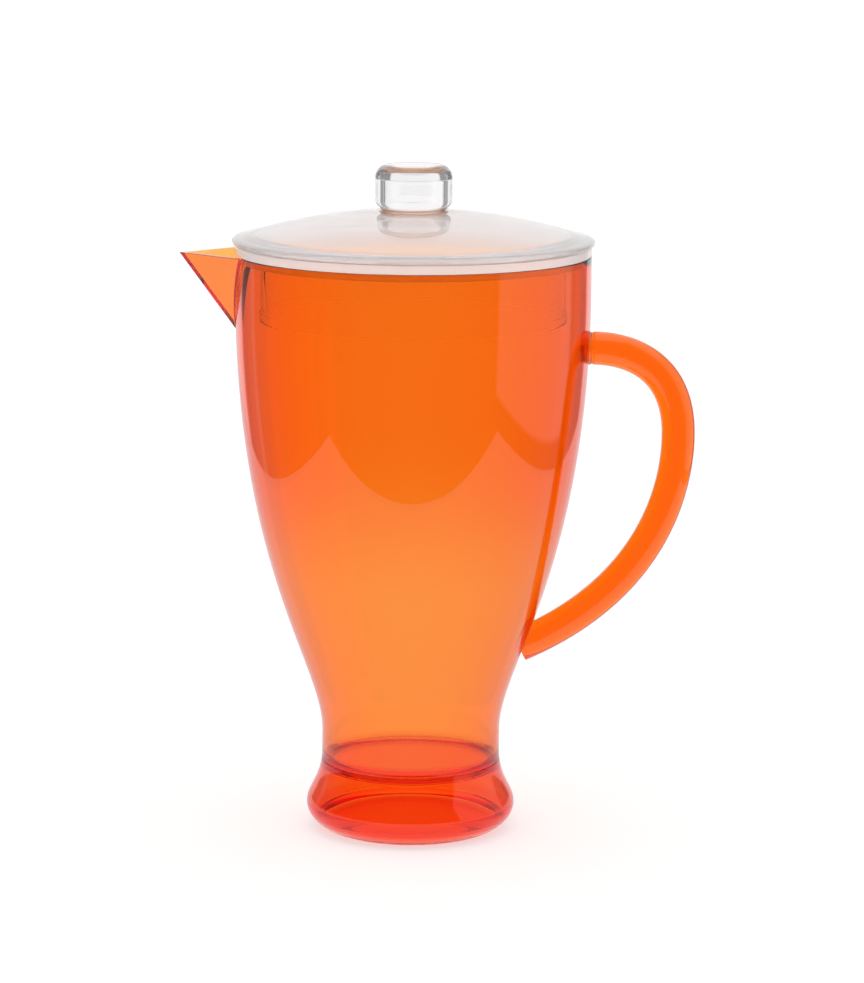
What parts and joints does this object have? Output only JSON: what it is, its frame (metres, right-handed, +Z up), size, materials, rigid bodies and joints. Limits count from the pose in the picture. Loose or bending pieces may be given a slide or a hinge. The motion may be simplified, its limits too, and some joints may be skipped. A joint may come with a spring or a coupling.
{
  "type": "footed pitcher with lid",
  "caption": "Translucent footed drinks pitcher with a pointed pouring beak, a loop handle and a clear domed lift-off lid with a knob.",
  "frame": {"origin": "centre of the flat underside, on the pitcher's own axis", "axes": "+Z up along the pitcher's axis, -X towards the beak, +X towards the handle"},
  "size_m": [0.215, 0.1506, 0.281],
  "materials": {
    "orange_plastic": "glossy translucent orange",
    "clear_plastic": "glossy clear",
    "milky_silicone": "smooth milky"
  },
  "bodies": {
    "jug": {"jug_body": "orange_plastic", "jug_foot": "orange_plastic", "foot_base_cap": "orange_plastic", "spout": "orange_plastic", "handle": "orange_plastic"},
    "seal": {"lid_seal_ring": "milky_silicone"},
    "lid": {"lid_dome": "clear_plastic", "lid_skirt": "clear_plastic", "knob_neck": "clear_plastic", "knob": "clear_plastic"}
  },
  "joints": [
    {"name": "lid_lift", "type": "slide", "parent": "jug", "child": "seal", "axis": [0, 0, 1], "range_m": [0, 0.1]},
    {"name": "lid_turn", "type": "hinge", "parent": "seal", "child": "lid", "pos_m": [0, 0, 0.248], "axis": [0, 0, 1], "continuous": true}
  ]
}
